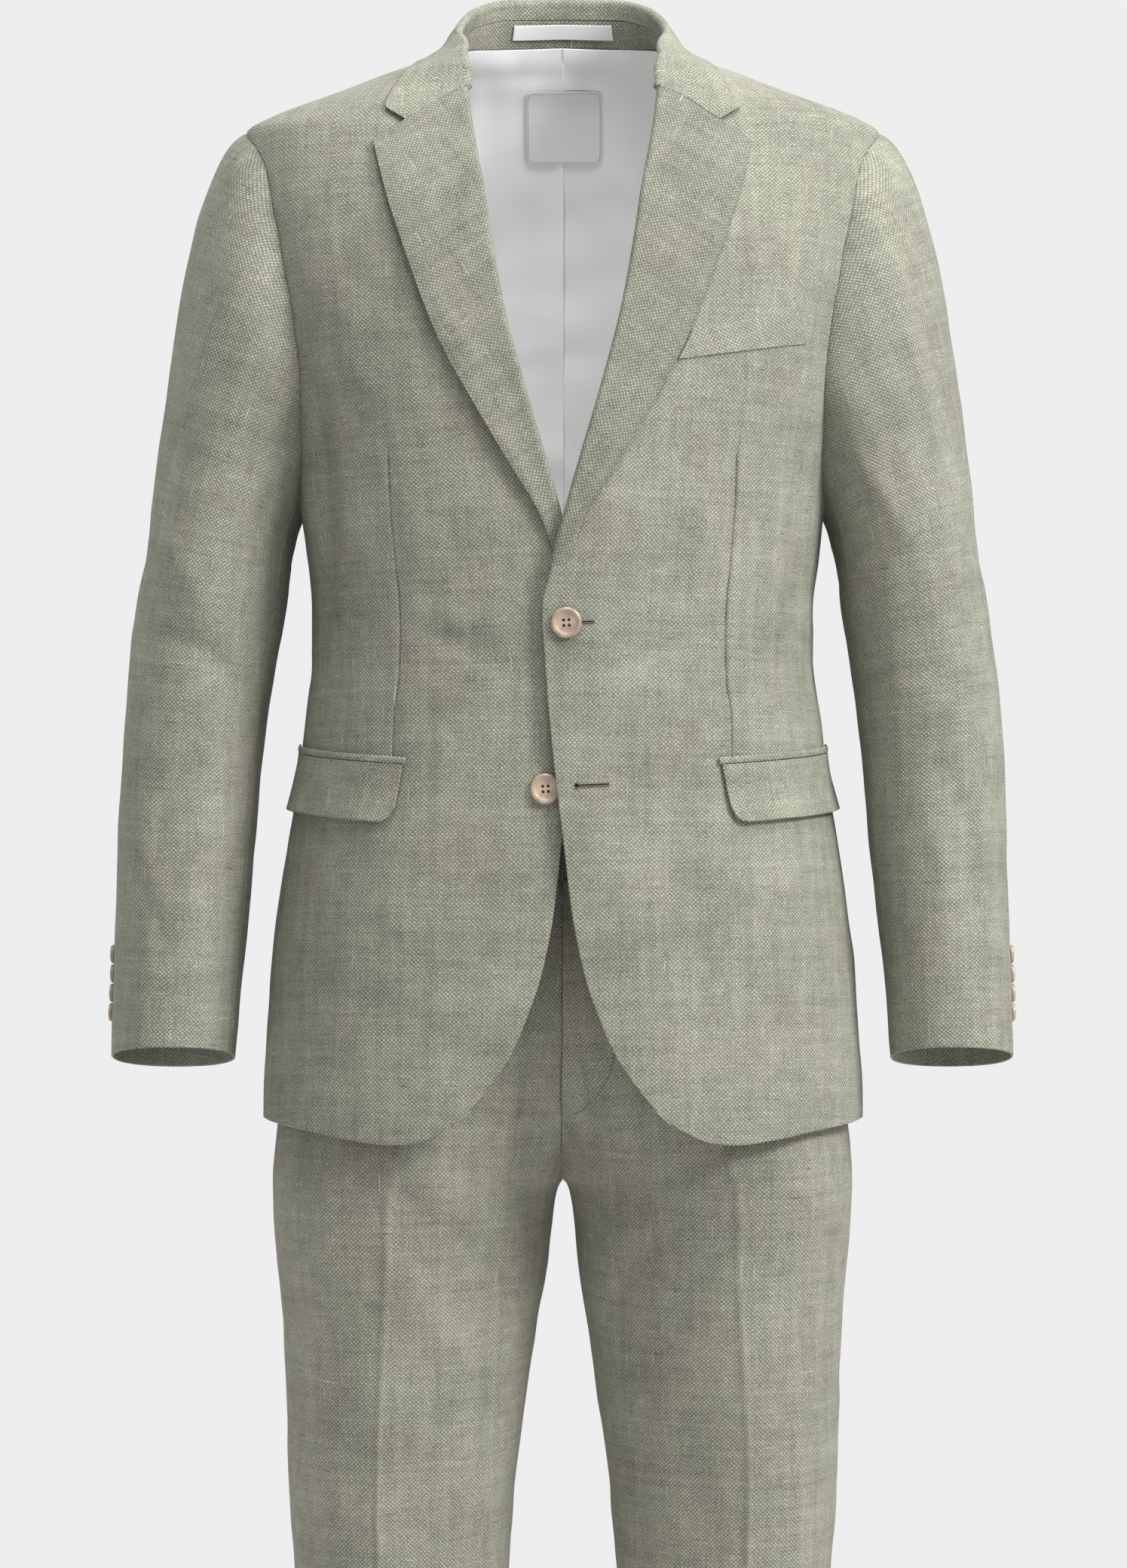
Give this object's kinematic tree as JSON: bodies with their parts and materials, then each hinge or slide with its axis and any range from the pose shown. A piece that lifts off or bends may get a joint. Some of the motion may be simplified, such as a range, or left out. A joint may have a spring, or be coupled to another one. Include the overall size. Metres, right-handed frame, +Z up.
{
  "type": "two-piece suit",
  "caption": "Two-piece linen suit in its worn shape: a single-breasted jacket with notch lapels and flap pockets over flat-front trousers.",
  "frame": {"origin": "where the wearer's shoulders carry the jacket, on the centre plane at the height of the neck's base", "axes": "+Z up, the front faces -Y, the wearer's left is +X"},
  "size_m": [0.613, 0.2846, 1.6103],
  "materials": {
    "linen": "sage green basket-weave linen with slubs",
    "satin": "pale silver satin lining",
    "label": "bare grey woven patch",
    "button": "beige-brown horn-look, four holes"
  },
  "bodies": {
    "root": {"front_left": "linen", "front_right": "linen", "side_panel_left": "linen", "side_panel_right": "linen", "back_left": "linen", "back_right": "linen", "top_sleeve_left": "linen", "top_sleeve_right": "linen", "under_sleeve_left": "linen", "under_sleeve_right": "linen", "lapel_left": "linen", "lapel_right": "linen", "pocket_jet_left": "linen", "pocket_jet_right": "linen", "pocket_flap_left": "linen", "pocket_flap_right": "linen", "trouser_front_left": "linen", "trouser_front_right": "linen", "trouser_back_left": "linen", "trouser_back_right": "linen", "waistband_left": "linen", "waistband_right": "linen", "collar": "linen", "collar_stand": "linen", "breast_welt": "linen", "back_lining_left": "satin", "back_lining_right": "satin", "hanger_band": "satin", "label_patch": "label", "front_button_top": "button", "front_button_lower": "button", "cuff_button_left_1": "button", "cuff_button_left_2": "button", "cuff_button_left_3": "button", "cuff_button_left_4": "button", "cuff_button_right_1": "button", "cuff_button_right_2": "button", "cuff_button_right_3": "button", "cuff_button_right_4": "button"}
  },
  "joints": []
}
